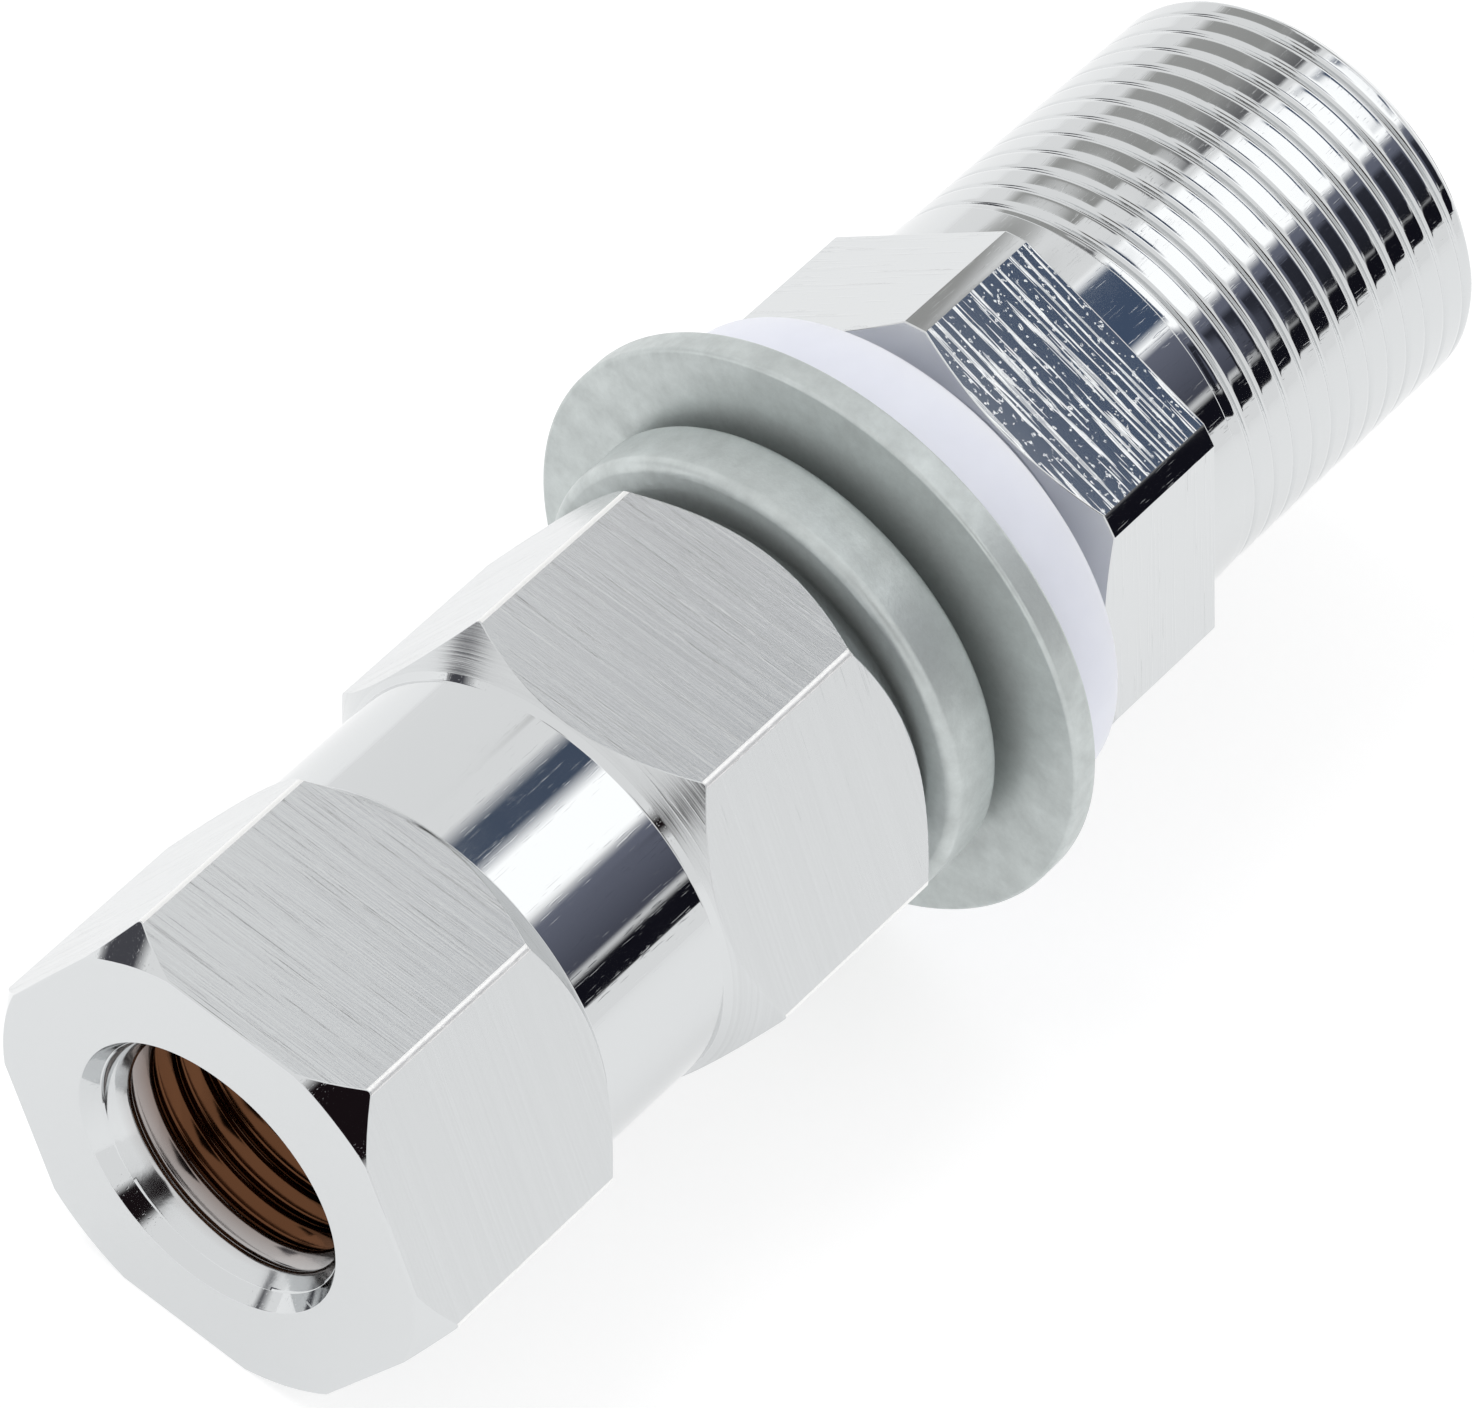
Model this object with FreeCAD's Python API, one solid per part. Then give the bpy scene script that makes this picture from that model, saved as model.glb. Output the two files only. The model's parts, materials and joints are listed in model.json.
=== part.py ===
import FreeCAD, Part
import math
import os

# Antenna mount adapter: a hexagonal coupler for the antenna's stud, three washers
# and a coaxial socket whose hot stud holds them. Sizes are in millimetres.
# The pieces are drawn on the X axis, from the antenna end at x = 0 to the coax end,
# with Z up, and are then laid down as the adapter rests on a table.

# Coupler, turned from hexagonal bar
coupler_across_flats = 16.0
front_hex_length = 10.0
neck_length = 6.2
back_hex_length = 10.4
neck_diameter = 15.5
neck_root_chamfer = 0.2
front_face_diameter = 16.7
front_chamfer_angle = 54.0
neck_chamfer_angle = 45.0
back_face_diameter = 14.8
back_chamfer_angle = 45.0

# Stud and the coupler's two tapped holes, with their thread drawn at its pitch diameter
stud_pitch_diameter = 8.838
stud_reach_in_coupler = 12.6
stud_tip_chamfer = 0.7
stud_tip_gap = 0.3
thread_clearance = 0.04
tap_drill_step = 0.169
antenna_thread_depth = 12.5
countersink_margin = 0.781
countersink_angle = 60.0

# Spring lock washer, free, with its split cut at a slant
lock_stud_clearance = 0.531
lock_outer_diameter = 17.25
lock_thickness = 2.4
lock_rise = 0.95
lock_edge_chamfer = 0.35
lock_split_width = 1.6
lock_split_slant = 25.0
lock_split_bearing = 211.0
lock_seat_gap = 0.01

# Flat washer
flat_stud_clearance = 0.731
flat_outer_diameter = 22.1
flat_thickness = 1.1
flat_edge_chamfer = 0.15

# Insulating washer with a shoulder that centres it in the bracket's hole
nylon_stud_clearance = 0.531
nylon_outer_diameter = 19.0
nylon_thickness = 3.35
nylon_edge_chamfer = 0.2
shoulder_diameter = 12.5
shoulder_height = 1.05

# Connector body, milled and turned from round bar
body_bar_diameter = 18.0
body_across_flats = 16.0
body_hex_length = 6.05
body_hex_turn = 18.2
body_face_diameter = 15.8
body_chamfer_angle = 30.0
barrel_diameter = 15.7
barrel_length = 15.0
barrel_end_chamfer = 0.4
body_front_wall = 2.5
socket_wall = 1.65
socket_depth = 7.5
socket_mouth_chamfer = 0.3
key_notch_count = 4
key_notch_width = 1.8
key_notch_depth = 1.0
key_notch_skin = 0.75

# Pieces inside the connector body
inner_clearance = 0.03
front_insulator_floor = 1.25
shank_insulation = 1.2
head_insulation = 0.8
stud_head_seat = 0.7
stud_head_length = 2.6
stud_head_across_flats = 9.8
stud_tail_diameter = 3.0
stud_tail_length = 3.0
contact_diameter = 5.4
contact_flange_diameter = 6.8
contact_flange_length = 1.2
contact_tip_below_rim = 2.0
contact_tip_chamfer = 0.35
contact_pin_diameter = 4.0
contact_pin_depth = 9.0
contact_slot_width = 0.6
contact_slot_length = 5.5
contact_slot_cuts = 2
insulator_boss_diameter = 8.6
insulator_boss_height = 1.2

# Diameters that follow from their neighbours
tap_drill_diameter = stud_pitch_diameter - 2 * tap_drill_step
countersink_diameter = stud_pitch_diameter + 2 * countersink_margin
lock_inner_diameter = stud_pitch_diameter + 2 * lock_stud_clearance
flat_inner_diameter = stud_pitch_diameter + 2 * flat_stud_clearance
nylon_bore_diameter = stud_pitch_diameter + 2 * nylon_stud_clearance
socket_diameter = barrel_diameter - 2 * socket_wall
key_notch_diameter = barrel_diameter - 2 * key_notch_skin
stud_head_diameter = socket_diameter - 2 * head_insulation
stud_shank_diameter = stud_head_diameter - 2 * stud_head_seat
body_front_hole_diameter = stud_shank_diameter + 2 * shank_insulation

# Construction
full_turn = 360.0
hex_sides = 6
overcut = 1.0

# Places along the axis
neck_start = front_hex_length
neck_end = neck_start + neck_length
coupler_end = neck_end + back_hex_length
lock_start = coupler_end + lock_seat_gap
flat_start = lock_start + lock_thickness + lock_rise + lock_seat_gap
nylon_start = flat_start + flat_thickness
shoulder_start = nylon_start + nylon_thickness
body_start = shoulder_start + shoulder_height
barrel_start = body_start + body_hex_length
body_end = barrel_start + barrel_length
stud_tip = coupler_end - stud_reach_in_coupler
inner_step = body_start + body_front_wall
head_start = inner_step + front_insulator_floor
head_end = head_start + stud_head_length
socket_floor = body_end - socket_depth
contact_tip = body_end - contact_tip_below_rim


def corner_radius(across_flats):
    return across_flats / 2 / math.cos(math.pi / hex_sides)


def chamfer_run(face_radius, outer_radius, angle):
    return (outer_radius - face_radius) * math.tan(math.radians(angle))


def outline(*points):
    """Closed wire through the points (x, r) in the XZ plane."""
    return Part.makePolygon([FreeCAD.Vector(x, 0, r) for x, r in points + points[:1]])


def turned(*points):
    face = Part.Face(outline(*points))
    return face.revolve(FreeCAD.Vector(0, 0, 0), FreeCAD.Vector(1, 0, 0), full_turn)


def rod(radius, start, end):
    return Part.makeCylinder(radius, end - start, FreeCAD.Vector(start, 0, 0), FreeCAD.Vector(1, 0, 0))


def hexagonal_bar(across_flats, start, end, turn=0.0):
    radius = corner_radius(across_flats)
    corners = []
    for side in range(hex_sides + 1):
        angle = math.radians(turn + side * full_turn / hex_sides)
        corners.append(FreeCAD.Vector(start, radius * math.cos(angle), radius * math.sin(angle)))
    return Part.Face(Part.makePolygon(corners)).extrude(FreeCAD.Vector(end - start, 0, 0))


def spun(shape, angle):
    copy = shape.copy()
    copy.rotate(FreeCAD.Vector(0, 0, 0), FreeCAD.Vector(1, 0, 0), angle)
    return copy


def coupler():
    """Two hexagons on one bar, with a polished neck between them and a tapped hole from each end."""
    bar = corner_radius(coupler_across_flats) + overcut
    neck = neck_diameter / 2
    neck_face = neck + neck_root_chamfer
    front_face = front_face_diameter / 2
    back_face = back_face_diameter / 2
    neck_run = chamfer_run(neck_face, bar, neck_chamfer_angle)
    blank = turned(
        (0, 0),
        (0, front_face),
        (chamfer_run(front_face, bar, front_chamfer_angle), bar),
        (neck_start - neck_run, bar),
        (neck_start, neck_face),
        (neck_start + neck_root_chamfer, neck),
        (neck_end - neck_root_chamfer, neck),
        (neck_end, neck_face),
        (neck_end + neck_run, bar),
        (coupler_end - chamfer_run(back_face, bar, back_chamfer_angle), bar),
        (coupler_end, back_face),
        (coupler_end, 0),
    )
    thread = stud_pitch_diameter / 2 + thread_clearance
    drilled = tap_drill_diameter / 2
    mouth = countersink_diameter / 2
    tapped_holes = turned(
        (-overcut, 0),
        (-overcut, mouth),
        (0, mouth),
        (chamfer_run(thread, mouth, countersink_angle), thread),
        (antenna_thread_depth, thread),
        (antenna_thread_depth, drilled),
        (stud_tip - stud_tip_gap, drilled),
        (stud_tip - stud_tip_gap, thread),
        (coupler_end + overcut, thread),
        (coupler_end + overcut, 0),
    )
    bar_stock = hexagonal_bar(coupler_across_flats, -overcut, coupler_end + overcut)
    return blank.common(bar_stock).cut(tapped_holes)


def lock_washer():
    """One left-handed turn of a section with its outer edges broken, cut through at a slant."""
    inner = lock_inner_diameter / 2
    outer = lock_outer_diameter / 2
    half = lock_thickness / 2
    edge = lock_edge_chamfer
    section = outline(
        (inner, -half),
        (outer - edge, -half),
        (outer, edge - half),
        (outer, half - edge),
        (outer - edge, half),
        (inner, half),
    )
    # The turn stops just short of closing on itself, inside the split.
    turn_share = 1 - lock_split_width / (2 * math.pi * outer)
    height = lock_rise * turn_share
    path = Part.makeHelix(lock_rise, height, (inner + outer) / 2, 0, True)
    ring = Part.Wire(path.Edges).makePipeShell([section], True, True)
    split = Part.makeBox(outer, lock_split_width, 4 * lock_thickness)
    split.translate(FreeCAD.Vector(inner - overcut, -lock_split_width / 2, -2 * lock_thickness))
    split.rotate(FreeCAD.Vector(0, 0, 0), FreeCAD.Vector(1, 0, 0), lock_split_slant)
    split.translate(FreeCAD.Vector(0, 0, lock_rise / 2))
    split.rotate(FreeCAD.Vector(0, 0, 0), FreeCAD.Vector(0, 0, 1), (1 - turn_share) * full_turn / 2)
    ring = ring.cut(split)
    ring.rotate(FreeCAD.Vector(0, 0, 0), FreeCAD.Vector(0, 1, 0), full_turn / 4)
    ring.translate(FreeCAD.Vector(lock_start + half, 0, 0))
    # The split starts out facing straight down, at 270 degrees from the Y axis.
    return spun(ring, lock_split_bearing - full_turn * 3 / 4)


def flat_washer():
    """Stamped ring with its outer edges broken."""
    inner = flat_inner_diameter / 2
    outer = flat_outer_diameter / 2
    edge = flat_edge_chamfer
    front = flat_start
    back = flat_start + flat_thickness
    return turned(
        (front, inner),
        (front, outer - edge),
        (front + edge, outer),
        (back - edge, outer),
        (back, outer - edge),
        (back, inner),
    )


def nylon_washer():
    """Thick flange with its rim's edges broken, and a short shoulder towards the connector."""
    bore = nylon_bore_diameter / 2
    outer = nylon_outer_diameter / 2
    shoulder = shoulder_diameter / 2
    edge = nylon_edge_chamfer
    return turned(
        (nylon_start, bore),
        (nylon_start, outer - edge),
        (nylon_start + edge, outer),
        (shoulder_start - edge, outer),
        (shoulder_start, outer - edge),
        (shoulder_start, shoulder),
        (body_start, shoulder),
        (body_start, bore),
    )


def key_notches():
    """Notches in the inner half of the rim, which stop a plug from turning."""
    outer = key_notch_diameter / 2
    notch = Part.makeBox(key_notch_depth + overcut, key_notch_width, outer)
    notch.translate(FreeCAD.Vector(body_end - key_notch_depth, -key_notch_width / 2, 0))
    notch = notch.common(rod(outer, body_end - key_notch_depth, body_end + overcut))
    return [spun(notch, index * full_turn / key_notch_count) for index in range(key_notch_count)]


def connector_body():
    """Round bar milled to a hexagon that keeps narrow round lands, and a barrel with the socket in it."""
    bar = body_bar_diameter / 2
    face = body_face_diameter / 2
    barrel = barrel_diameter / 2
    blank = turned(
        (body_start, 0),
        (body_start, face),
        (body_start + chamfer_run(face, bar, body_chamfer_angle), bar),
        (barrel_start, bar),
        (barrel_start, 0),
    )
    milled = blank.common(hexagonal_bar(body_across_flats, body_start, barrel_start, body_hex_turn))
    turned_barrel = turned(
        (barrel_start - overcut, 0),
        (barrel_start - overcut, barrel),
        (body_end - barrel_end_chamfer, barrel),
        (body_end, barrel - barrel_end_chamfer),
        (body_end, 0),
    )
    hole = body_front_hole_diameter / 2
    socket = socket_diameter / 2
    mouth = socket + socket_mouth_chamfer
    inside = turned(
        (body_start - overcut, 0),
        (body_start - overcut, hole),
        (inner_step, hole),
        (inner_step, socket),
        (body_end - socket_mouth_chamfer, socket),
        (body_end, mouth),
        (body_end + overcut, mouth),
        (body_end + overcut, 0),
    )
    return milled.fuse(turned_barrel).cut(inside).cut(key_notches()).removeSplitter()


def stud_head(clearance=0.0):
    """Round head with two flats, which keep the stud from turning in its insulator."""
    head = rod(stud_head_diameter / 2 + clearance, head_start, head_end)
    width = stud_head_across_flats + 2 * clearance
    flats = Part.makeBox(stud_head_length, stud_head_diameter * 2, width)
    flats.translate(FreeCAD.Vector(head_start, -stud_head_diameter, -width / 2))
    return head.common(flats)


def front_insulator():
    """Bush that lines the body's front hole and holds the stud's head in a keyed pocket."""
    hole = body_front_hole_diameter / 2 - inner_clearance
    socket = socket_diameter / 2 - inner_clearance
    shank = stud_shank_diameter / 2 + inner_clearance
    bush = turned(
        (body_start, shank),
        (body_start, hole),
        (inner_step, hole),
        (inner_step, socket),
        (head_end, socket),
        (head_end, shank),
    )
    return bush.cut(stud_head(inner_clearance))


def stud():
    """Hot stud: threaded end, plain shank, keyed head and a tail that joins the contact."""
    thread = stud_pitch_diameter / 2
    shank = stud_shank_diameter / 2
    tail = stud_tail_diameter / 2
    turned_stud = turned(
        (stud_tip, 0),
        (stud_tip, thread - stud_tip_chamfer),
        (stud_tip + stud_tip_chamfer, thread),
        (body_start, thread),
        (body_start, shank),
        (head_end, shank),
        (head_end, tail),
        (head_end + stud_tail_length, tail),
        (head_end + stud_tail_length, 0),
    )
    return turned_stud.fuse(stud_head()).removeSplitter()


def rear_insulator():
    """Disc that fills the socket's bottom, with a pocket for the contact's flange and a boss round it."""
    socket = socket_diameter / 2 - inner_clearance
    contact = contact_diameter / 2 + inner_clearance
    flange = contact_flange_diameter / 2 + inner_clearance
    boss = insulator_boss_diameter / 2
    flange_end = head_end + contact_flange_length
    return turned(
        (head_end, flange),
        (head_end, socket),
        (socket_floor, socket),
        (socket_floor, boss),
        (socket_floor + insulator_boss_height, boss),
        (socket_floor + insulator_boss_height, contact),
        (flange_end, contact),
        (flange_end, flange),
    )


def centre_contact():
    """Flanged tube with four sprung fingers that grip the plug's centre pin."""
    outer = contact_diameter / 2
    flange = contact_flange_diameter / 2
    pin = contact_pin_diameter / 2
    tail = stud_tail_diameter / 2 + inner_clearance
    flange_end = head_end + contact_flange_length
    tail_end = head_end + stud_tail_length + inner_clearance
    tube = turned(
        (head_end, tail),
        (head_end, flange),
        (flange_end, flange),
        (flange_end, outer),
        (contact_tip - contact_tip_chamfer, outer),
        (contact_tip, outer - contact_tip_chamfer),
        (contact_tip, pin),
        (contact_tip - contact_pin_depth, pin),
        (contact_tip - contact_pin_depth, 0),
        (tail_end, 0),
        (tail_end, tail),
    )
    slot = Part.makeBox(contact_slot_length + overcut, contact_diameter * 2, contact_slot_width)
    corner = FreeCAD.Vector(contact_tip - contact_slot_length, -contact_diameter, -contact_slot_width / 2)
    slot.translate(corner)
    slots = [spun(slot, index * full_turn / 2 / contact_slot_cuts) for index in range(contact_slot_cuts)]
    return tube.cut(slots)


def rest_tilt():
    """Nose-down angle at which the flat washer's rim and the coupler's lower front edge share one level."""
    along = flat_start + flat_edge_chamfer
    drop = (flat_outer_diameter - coupler_across_flats) / 2
    return math.atan2(drop, along)


def rest_placement():
    """Lays the adapter down, with the middle of its footprint's bounding box at the origin."""
    tilt = rest_tilt()
    half_flats = coupler_across_flats / 2
    rim = barrel_diameter / 2 - barrel_end_chamfer
    nearest = -half_flats * math.sin(tilt)
    farthest = body_end * math.cos(tilt) + rim * math.sin(tilt)
    shift = FreeCAD.Vector(-(nearest + farthest) / 2, 0, half_flats * math.cos(tilt))
    return FreeCAD.Placement(shift, FreeCAD.Rotation(FreeCAD.Vector(0, 1, 0), -math.degrees(tilt)))


pieces = {
    "coupler": coupler,
    "lock_washer": lock_washer,
    "flat_washer": flat_washer,
    "nylon_washer": nylon_washer,
    "connector_body": connector_body,
    "front_insulator": front_insulator,
    "stud": stud,
    "rear_insulator": rear_insulator,
    "centre_contact": centre_contact,
}

os.makedirs("parts", exist_ok=True)
laid_down = rest_placement().toMatrix()
for name, make in pieces.items():
    make().transformed(laid_down, True).exportStep("parts/" + name + ".step")
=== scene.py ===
"""Antenna mount adapter, dressed: coupler and socket body with their threads, washers and insulators."""

import json
import math
from collections import namedtuple
from functools import partial

import bmesh
import bpy
import numpy as np
from mathutils import Matrix, Vector


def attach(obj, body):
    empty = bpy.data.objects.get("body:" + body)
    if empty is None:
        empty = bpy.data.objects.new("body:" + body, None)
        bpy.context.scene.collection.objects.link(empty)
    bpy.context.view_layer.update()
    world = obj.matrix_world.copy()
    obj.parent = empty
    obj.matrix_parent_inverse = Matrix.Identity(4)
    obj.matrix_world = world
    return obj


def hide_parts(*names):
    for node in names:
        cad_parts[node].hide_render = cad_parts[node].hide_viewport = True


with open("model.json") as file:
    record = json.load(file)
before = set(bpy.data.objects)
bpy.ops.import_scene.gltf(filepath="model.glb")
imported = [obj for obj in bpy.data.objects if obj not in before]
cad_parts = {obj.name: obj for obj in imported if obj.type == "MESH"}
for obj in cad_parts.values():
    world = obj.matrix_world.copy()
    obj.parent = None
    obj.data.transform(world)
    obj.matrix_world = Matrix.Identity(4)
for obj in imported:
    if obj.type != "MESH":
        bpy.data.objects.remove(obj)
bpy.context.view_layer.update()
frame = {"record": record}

bl_info = {
    "name": "Antenna mount adapter",
    "version": (1, 0, 0),
    "blender": (4, 5, 0),
    "location": "View3D > Sidebar > Adapter",
    "description": "Builds an antenna mount adapter on its packed frame, with its finishes, stage and camera",
    "category": "Object",
}

MM = 0.001
FULL_TURN = 2 * math.pi
HEX_SIDES = 6

# Mesh steps round a piece, a small piece and a thread, over one flat, one corner and one land, and in an arc
ROUND_COLUMNS = 192
SMALL_COLUMNS = 96
THREAD_COLUMNS = 180
STUD_THREAD_COLUMNS = 72
FLAT_COLUMNS = 20
CORNER_COLUMNS = 6
LAND_COLUMNS = 4
ARC_STEPS = 4
WASHER_ARC_STEPS = 8

# The least overlap of a thread's sleeve with the wall that it stands on. Deeper ones are so many of these.
HAIR = 0.01 * MM


def linear(hex_colour):
    """sRGB hex colour to linear red, green, blue and alpha."""
    channels = [int(hex_colour[index:index + 2], 16) / 255 for index in (0, 2, 4)]
    return [c / 12.92 if c <= 0.04045 else ((c + 0.055) / 1.055) ** 2.4 for c in channels] + [1.0]


def length(name, millimetres, description):
    return bpy.props.FloatProperty(
        name=name, description=description, default=millimetres * MM, precision=5, unit="LENGTH")


def angle(name, degrees, description):
    return bpy.props.FloatProperty(
        name=name, description=description, default=math.radians(degrees), subtype="ANGLE")


def share(name, value, description):
    return bpy.props.FloatProperty(name=name, description=description, default=value, min=0.0)


def count(name, value, description, least):
    return bpy.props.IntProperty(name=name, description=description, default=value, min=least)


def colour(name, hex_colour, description):
    return bpy.props.FloatVectorProperty(
        name=name, description=description, default=linear(hex_colour), size=4, subtype="COLOR",
        min=0.0, max=1.0)


class CouplerSizes(bpy.types.PropertyGroup):
    """Hexagonal coupler"""
    across_flats: length("Across flats", 16.0, "Width of both hexagons over two flats")
    front_hex: length("Front hexagon", 10.0, "Length of the hexagon at the antenna end")
    neck: length("Neck", 6.2, "Length of the round neck")
    back_hex: length("Back hexagon", 10.4, "Length of the hexagon at the washers")
    neck_diameter: length("Neck diameter", 15.5, "Diameter of the polished neck")
    neck_root: length("Neck root", 0.2, "Small chamfer where the neck meets each hexagon")
    front_face: length("Front face diameter", 16.7, "Where the antenna end's chamfer starts")
    front_chamfer: angle("Front chamfer", 54.0, "Angle of that chamfer from the face")
    neck_chamfer: angle("Neck chamfers", 45.0, "Angle of the hexagons' chamfers at the neck")
    back_face: length("Back face diameter", 14.8, "Where the washer end's chamfer starts")
    back_chamfer: angle("Back chamfer", 45.0, "Angle of that chamfer")
    countersink: length("Countersink diameter", 10.4, "Mouth of the antenna's thread")
    countersink_slope: angle("Countersink", 60.0, "Angle of its cone from the face")
    hole: length("Hole behind the thread", 9.72, "Diameter of the wall that the cut thread stands on")
    drill: length("Tap drill", 8.5, "Diameter between the two threads")
    antenna_depth: length("Antenna thread depth", 12.5, "Depth of the antenna's thread from the face")
    stud_reach: length("Stud thread depth", 12.9, "Depth of the stud's thread from the washer end")
    corner_round: length("Corner rounding", 0.26, "Radius along the hexagon's six edges")
    edge_round: length("Edge rounding", 0.09, "Radius where flats and chamfers meet")


class WasherSizes(bpy.types.PropertyGroup):
    """Spring washer, flat washer and insulating washer"""
    seat_gap: length("Seat gap", 0.01, "Play on each side of the spring washer")
    lock_inner: length("Spring washer hole", 9.9, "Inner diameter")
    lock_outer: length("Spring washer diameter", 17.25, "Outer diameter")
    lock_thickness: length("Spring washer thickness", 2.4, "Thickness of its section")
    lock_rise: length("Spring washer rise", 0.95, "How far its free ends stand apart")
    lock_split: length("Split width", 1.6, "Width of the cut through the spring washer")
    lock_slant: angle("Split slant", 25.0, "Slant of that cut")
    lock_bearing: angle("Split bearing", 211.0, "Where the turn starts, from the level side")
    lock_round: length("Spring washer edges", 0.42, "Rolled radius of its outer edges")
    lock_bore_round: length("Spring washer bore edges", 0.15, "Radius of its inner edges")
    flat_inner: length("Flat washer hole", 10.3, "Inner diameter")
    flat_outer: length("Flat washer diameter", 22.1, "Outer diameter")
    flat_thickness: length("Flat washer thickness", 1.1, "Thickness")
    flat_round: length("Flat washer edges", 0.16, "Radius that stamping and tumbling leave")
    nylon_bore: length("Insulating washer bore", 9.9, "Bore over the stud")
    nylon_outer: length("Insulating washer diameter", 19.0, "Diameter of its flange")
    nylon_thickness: length("Insulating washer thickness", 3.35, "Thickness of its flange")
    shoulder: length("Shoulder diameter", 12.5, "Diameter of the shoulder in the bracket's hole")
    shoulder_height: length("Shoulder height", 1.05, "Height of that shoulder")
    nylon_round: length("Insulating washer edges", 0.28, "Moulded radius")


class BodySizes(bpy.types.PropertyGroup):
    """Socket body with its hexagon, collar and barrel"""
    bar: length("Bar diameter", 18.0, "Round lands that stay between the flats")
    across_flats: length("Across flats", 16.0, "Width over two flats")
    hex_length: length("Hexagon length", 6.05, "Length of the milled hexagon")
    hex_turn: angle("Hexagon turn", 18.2, "How far its corners are turned from the level side")
    face: length("Face diameter", 15.8, "Where the front chamfer starts")
    chamfer: angle("Front chamfer", 30.0, "Angle of the front chamfer from the face")
    barrel: length("Barrel length", 15.0, "Length behind the hexagon")
    collar_diameter: length("Collar diameter", 15.72, "Plain ring between hexagon and thread")
    collar_length: length("Collar length", 1.85, "Length of that ring")
    core: length("Core diameter", 14.88, "Wall that the outer thread stands on")
    front_hole: length("Front hole", 11.8, "Hole for the insulating bush")
    front_wall: length("Front wall", 2.5, "Thickness round that hole")
    socket: length("Socket diameter", 12.4, "Inside of the plug socket")
    mouth_chamfer: length("Socket mouth", 0.3, "Chamfer at the socket's mouth")
    notch_width: length("Key notch width", 1.8, "Width of the notches in the rim")
    notch_depth: length("Key notch depth", 1.0, "Depth of the notches from the rim")
    notch_diameter: length("Key notch diameter", 14.2, "How far out the notches reach")
    notches: count("Key notches", 4, "Notches round the rim", 1)
    edge_round: length("Edge rounding", 0.07, "Radius along its turned and milled edges")


class InnerSizes(bpy.types.PropertyGroup):
    """Stud, insulators and centre contact"""
    clearance: length("Clearance", 0.03, "Play between the inner pieces")
    bush_floor: length("Bush floor", 1.25, "Insulator under the stud's head")
    shank: length("Shank diameter", 9.4, "Plain part of the stud")
    head: length("Head diameter", 10.8, "Round head of the stud")
    head_length: length("Head length", 2.6, "Thickness of the head")
    head_flats: length("Head flats", 9.8, "Width over the head's two flats")
    stud_round: length("Stud edges", 0.25, "Radius at the stud's tip; its head and pin have half of it")
    tail: length("Tail diameter", 3.0, "Pin that joins the contact")
    tail_length: length("Tail length", 3.0, "Length of that pin")
    stud_reach: length("Stud reach", 12.6, "How far the stud enters the coupler")
    contact: length("Contact diameter", 5.4, "Outside of the centre contact")
    flange: length("Contact flange", 6.8, "Diameter of its flange")
    flange_length: length("Flange length", 1.2, "Thickness of its flange")
    tip_below_rim: length("Contact tip below rim", 2.0, "How deep the contact's tip lies")
    tip_chamfer: length("Contact tip chamfer", 0.35, "Chamfer round the tip")
    contact_round: length("Contact edges", 0.06, "Radius of its flange and its fingers")
    pin: length("Pin hole", 4.0, "Hole for the plug's centre pin")
    pin_depth: length("Pin hole depth", 9.0, "Depth of that hole")
    slot_width: length("Finger slots", 0.6, "Width of the slots between the fingers")
    slot_length: length("Slot length", 5.5, "Length of the slots")
    fingers: count("Fingers", 4, "Sprung fingers of the contact", 2)
    boss: length("Insulator boss", 8.6, "Boss round the contact")
    boss_height: length("Boss height", 1.2, "Height of that boss")
    insulator_round: length("Insulator edges", 0.1, "Radius of the white pieces' edges")
    socket_depth: length("Socket depth", 7.5, "Depth of the plug socket from the rim")


class ThreadSizes(bpy.types.PropertyGroup):
    """Threads"""
    pitch: length("Pitch", 25.4 / 24, "24 threads to the inch, on every thread here")
    coax_crest: length("Coax thread", 15.61, "Diameter over the middle of the outer thread's crests")
    coax_depth: length("Coax thread depth", 0.36, "Depth of the outer thread's grooves")
    stud_crest: length("Stud thread", 9.4, "Diameter over the stud's crests")
    stud_depth: length("Stud thread depth", 0.5, "Depth of the 3/8 inch thread")
    play: length("Thread play", 0.07, "Radial play between stud and coupler")
    lean: share("Ridge lean", 0.06, "Rise across the outer thread's ridges, as a share of the pitch")
    coax_crest_width: share("Outer crest width", 12.0, "How steep and narrow the outer thread's grooves are")
    stud_crest_width: share("Stud crest width", 1.4, "The same for the stud's thread, where 1 is a plain V")
    coax_phase: share("Outer thread start", 0.827, "Where its grooves lie round the barrel, in turns")
    antenna_phase: share("Antenna thread start", 0.2, "The same for the antenna's thread")
    inner_phase: share("Coupler thread start", 0.5, "The same for the stud's thread in the coupler")
    coax_stations: count("Outer stations", 14, "Mesh rows in one pitch of the outer thread", 6)
    stud_stations: count("Stud stations", 10, "Mesh rows in one pitch of the other threads", 6)


class Finishes(bpy.types.PropertyGroup):
    """Colours of the finishes"""
    chrome: colour("Chrome", "D3D5D6", "Bright chrome plate")
    # Brighter chrome for the hexagon's corners: a painted highlight along each corner.
    corner_highlight: colour("Worn edge", "F6F6F5", "Chrome that handling has buffed")
    # Dark brown deep in the tapped holes: brass showing through thin plate, darkened further as painted shade
    # of the holes.
    brass_tone_and_painted_shade: colour("Thin plate", "5E3E2A", "Thin plate in the holes, where the brass shows through")
    zinc: colour("Zinc", "CBD1D0", "Clear zinc plate")
    nylon: colour("Nylon", "E8EAF5", "Natural nylon")
    ptfe: colour("PTFE", "ECECE6", "White PTFE")
    brass: colour("Brass", "D0A860", "Turned brass")


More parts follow.
